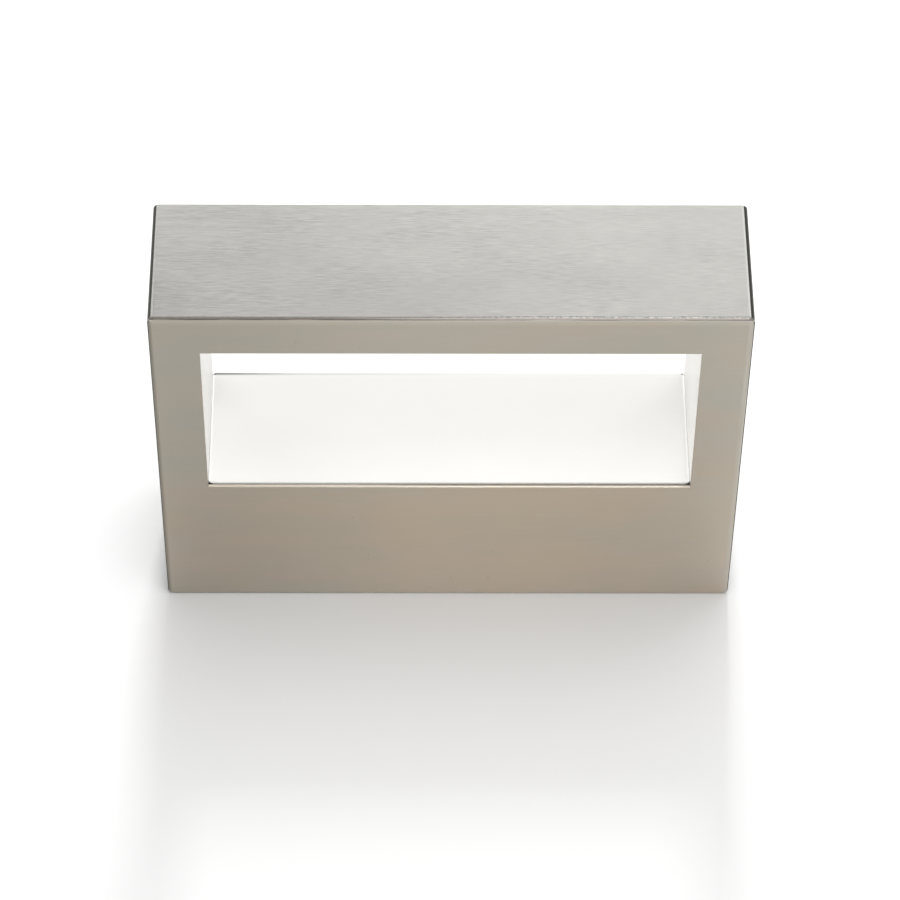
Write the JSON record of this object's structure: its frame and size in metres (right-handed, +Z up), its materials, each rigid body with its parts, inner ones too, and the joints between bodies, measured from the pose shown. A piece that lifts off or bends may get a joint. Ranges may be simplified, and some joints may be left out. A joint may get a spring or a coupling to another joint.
{
  "type": "wall light",
  "caption": "Outdoor wall light: a folded brushed-steel box with a wide see-through window, white inside and lit from a strip in its lintel, hung on a slotted wall plate.",
  "frame": {"origin": "midway between the two wall-screw slots, on the back face of the wall plate", "axes": "+X to the right seen from the front, +Y into the wall, +Z up; the front faces -Y"},
  "size_m": [0.18, 0.0465, 0.135],
  "materials": {
    "brushed_steel": "brushed",
    "white_coat": "satin powder coat",
    "zinc_plate": "zinc plated",
    "fasteners": "zinc plated",
    "retaining_steel": "stainless",
    "opal": "opal",
    "silicone": "matte",
    "aluminium": "extruded",
    "pad": "matte",
    "board": "solder mask",
    "chips": "phosphor",
    "connector": "moulded",
    "driver_shell": "moulded",
    "terminal_body": "moulded",
    "brass": "machined",
    "tinned": "tinned",
    "lead_brown": "sleeved",
    "lead_blue": "sleeved",
    "lead_earth": "sleeved",
    "lead_white": "sleeved",
    "foam": "closed-cell foam",
    "rubber": "matte"
  },
  "bodies": {
    "wall_mount": {"wall_plate": "zinc_plate", "wall_gasket": "foam", "cable_grommet": "rubber"},
    "casing": {"front_plate": "brushed_steel", "outer_band": "brushed_steel", "window_lining": "white_coat", "sill_tray": "white_coat", "gear_tray": "zinc_plate", "lining_studs": "fasteners", "lining_nuts": "fasteners", "sill_screws": "fasteners", "channel_studs": "fasteners", "channel_nuts": "fasteners", "board_screws": "fasteners", "tray_studs": "fasteners", "tray_nuts": "fasteners", "driver_screws": "fasteners", "terminal_screws": "fasteners", "terminal_fixing_screws": "fasteners", "earth_nut": "fasteners", "clamp_nuts": "fasteners", "diffuser": "opal", "diffuser_seal": "silicone", "lamp_channel": "aluminium", "thermal_pad": "pad", "led_board": "board", "led_chips": "chips", "board_connector": "connector", "led_driver": "driver_shell", "terminal_block": "terminal_body", "lead_clip": "terminal_body", "terminal_sleeves": "brass", "earth_pillar": "brass", "earth_tag": "tinned", "live_lead": "lead_brown", "neutral_lead": "lead_blue", "earth_lead": "lead_earth", "led_lead": "lead_white"},
    "left_screw": {"retaining_screw_left": "retaining_steel"},
    "right_screw": {"retaining_screw_right": "retaining_steel"}
  },
  "joints": [
    {"name": "casing_pull", "type": "slide", "parent": "wall_mount", "child": "casing", "axis": [0, -1, 0], "range_m": [0, 0.06]},
    {"name": "left_screw_out", "type": "slide", "parent": "casing", "child": "left_screw", "axis": [0, 0, -1], "range_m": [0, 0.004]},
    {"name": "right_screw_out", "type": "slide", "parent": "casing", "child": "right_screw", "axis": [0, 0, -1], "range_m": [0, 0.004]}
  ]
}
